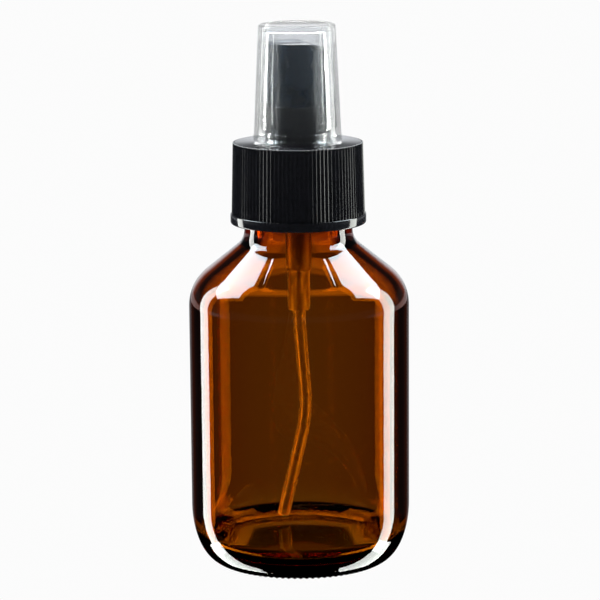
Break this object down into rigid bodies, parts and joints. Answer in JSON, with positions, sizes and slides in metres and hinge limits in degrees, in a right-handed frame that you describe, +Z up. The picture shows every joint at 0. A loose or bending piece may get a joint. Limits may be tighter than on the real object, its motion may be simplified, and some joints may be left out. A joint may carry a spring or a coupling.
{
  "type": "spray bottle",
  "caption": "Amber glass bottle with a ribbed black screw closure, a finger-operated fine-mist pump with a dip tube, and a clear push-on overcap.",
  "frame": {"origin": "middle of the ring that the bottle stands on", "axes": "+Z up along the bottle's axis, the spray leaves along -X, the finger pad slopes down towards +X"},
  "size_m": [0.049, 0.049, 0.1207],
  "materials": {
    "amber_glass": "polished amber soda-lime glass",
    "gasket_foam": "foamed polyethylene",
    "natural_plastic": "natural translucent polypropylene",
    "white_plastic": "natural acetal",
    "soft_plastic": "soft polyethylene",
    "spring_steel": "drawn stainless wire",
    "ball_steel": "polished stainless steel",
    "black_plastic": "smooth moulded black polypropylene",
    "clear_plastic": "clear moulded styrene"
  },
  "bodies": {
    "bottle": {"amber_bottle": "amber_glass"},
    "pump": {"pump_housing": "natural_plastic", "neck_gasket": "gasket_foam", "stem_guide": "white_plastic", "dip_tube": "natural_plastic", "main_spring": "spring_steel"},
    "closure": {"screw_closure": "black_plastic"},
    "cover": {"overcap": "clear_plastic"},
    "plunger": {"stem": "white_plastic", "valve_rod": "white_plastic"},
    "button": {"actuator": "black_plastic", "nozzle_insert": "black_plastic"},
    "piston": {"piston": "soft_plastic"},
    "ball": {"inlet_ball": "ball_steel"}
  },
  "joints": [
    {"name": "pump_lift", "type": "slide", "parent": "bottle", "child": "pump", "axis": [0, 0, 1], "range_m": [0, 0.00635]},
    {"name": "closure_turn", "type": "hinge", "parent": "pump", "child": "closure", "pos_m": [0, 0, 0.0856], "axis": [0, 0, 1], "range_deg": [0, 540]},
    {"name": "overcap_pull", "type": "slide", "parent": "closure", "child": "cover", "axis": [0, 0, 1], "range_m": [0, 0.028]},
    {"name": "actuator_press", "type": "slide", "parent": "pump", "child": "plunger", "axis": [0, 0, -1], "range_m": [0, 0.006], "stiffness_N_per_m": 1000, "springref_m": -0.003, "deforming": ["main_spring"]},
    {"name": "actuator_turn", "type": "hinge", "parent": "plunger", "child": "button", "pos_m": [0, 0, 0.1085], "axis": [0, 0, 1], "continuous": true},
    {"name": "piston_slip", "type": "slide", "parent": "plunger", "child": "piston", "axis": [0, 0, 1], "range_m": [0, 0.0006]},
    {"name": "ball_lift", "type": "slide", "parent": "pump", "child": "ball", "axis": [0, 0, 1], "range_m": [0, 0.0006]}
  ],
  "couplings": [
    {"joint": "closure_turn", "follows": "pump_lift", "rad_per_m": 1484.2}
  ]
}
